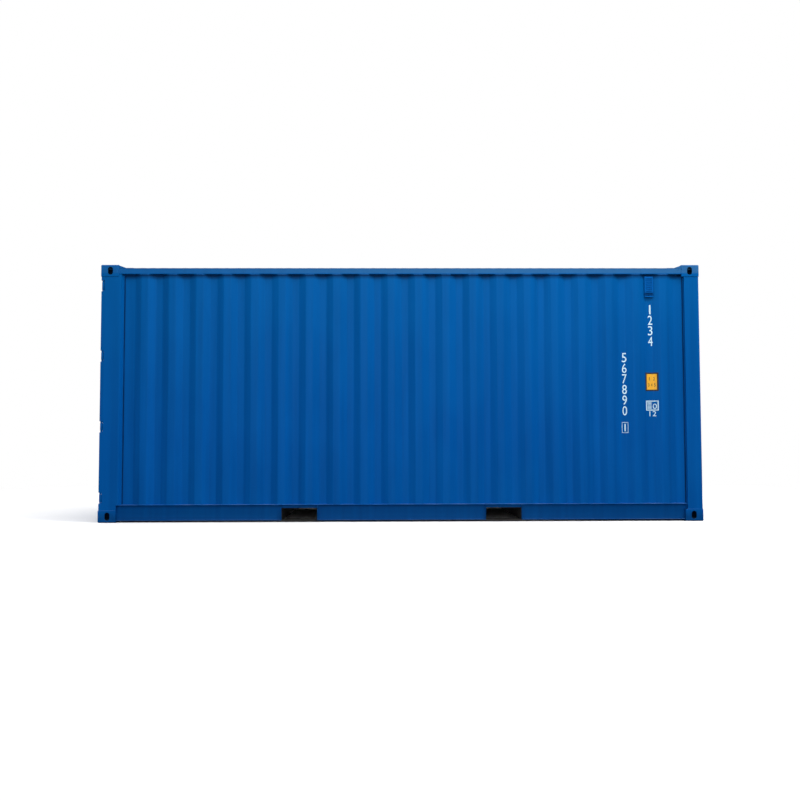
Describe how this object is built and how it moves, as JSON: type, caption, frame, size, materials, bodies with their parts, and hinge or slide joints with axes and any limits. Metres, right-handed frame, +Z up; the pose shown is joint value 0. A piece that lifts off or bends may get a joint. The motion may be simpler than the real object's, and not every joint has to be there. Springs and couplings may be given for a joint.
{
  "type": "shipping container",
  "caption": "Steel dry freight container with corrugated walls, fork pockets, cast corner fittings and hinged doors with lock bars.",
  "frame": {"origin": "on the ground under the middle of the container", "axes": "+X along the length towards the closed front end, doors at -X, +Y across the width, +Z up"},
  "size_m": [6.058, 2.438, 2.591],
  "materials": {
    "painted_steel": "satin blue paint",
    "underframe_steel": "black underseal",
    "lock_gear_steel": "blue paint over zinc",
    "floor_plywood": "worn plywood",
    "seal_rubber": "matt",
    "vent_plastic": "painted over"
  },
  "bodies": {
    "frame": {"bottom_side_rail_left": "painted_steel", "bottom_side_rail_right": "painted_steel", "cam_keepers": "lock_gear_steel", "corner_fitting_front_left_bottom": "painted_steel", "corner_fitting_front_left_top": "painted_steel", "corner_fitting_front_right_bottom": "painted_steel", "corner_fitting_front_right_top": "painted_steel", "corner_fitting_rear_left_bottom": "painted_steel", "corner_fitting_rear_left_top": "painted_steel", "corner_fitting_rear_right_bottom": "painted_steel", "corner_fitting_rear_right_top": "painted_steel", "crossmembers": "underframe_steel", "door_header": "painted_steel", "door_sill": "painted_steel", "door_sill_ends": "painted_steel", "floor_boards": "floor_plywood", "floor_centre_rail": "underframe_steel", "fork_pockets": "underframe_steel", "front_bottom_rail": "painted_steel", "front_post_left": "painted_steel", "front_post_right": "painted_steel", "front_top_rail": "painted_steel", "front_wall": "painted_steel", "hinge_lugs_left": "painted_steel", "hinge_lugs_right": "painted_steel", "rear_post_left": "painted_steel", "rear_post_right": "painted_steel", "roof": "painted_steel", "roof_corner_plates": "painted_steel", "side_wall_left": "painted_steel", "side_wall_right": "painted_steel", "top_side_rail_left": "painted_steel", "top_side_rail_right": "painted_steel", "ventilators": "vent_plastic"},
    "door_right": {"door_right_bar_brackets": "lock_gear_steel", "door_right_frame": "painted_steel", "door_right_handle_catches": "lock_gear_steel", "door_right_hinge_blades": "painted_steel", "door_right_lock_bars": "lock_gear_steel", "door_right_lock_handles": "lock_gear_steel", "door_right_panel": "painted_steel", "door_right_seal": "seal_rubber"},
    "door_left": {"door_left_bar_brackets": "lock_gear_steel", "door_left_frame": "painted_steel", "door_left_handle_catches": "lock_gear_steel", "door_left_hinge_blades": "painted_steel", "door_left_lock_bars": "lock_gear_steel", "door_left_lock_handles": "lock_gear_steel", "door_left_panel": "painted_steel", "door_left_seal": "seal_rubber"}
  },
  "joints": [
    {"name": "door_right_hinge", "type": "hinge", "parent": "frame", "child": "door_right", "pos_m": [-3.007, -1.197, 1.307], "axis": [0, 0, 1], "range_deg": [0, 258]},
    {"name": "door_left_hinge", "type": "hinge", "parent": "frame", "child": "door_left", "pos_m": [-3.007, 1.197, 1.307], "axis": [0, 0, -1], "range_deg": [0, 258]}
  ]
}
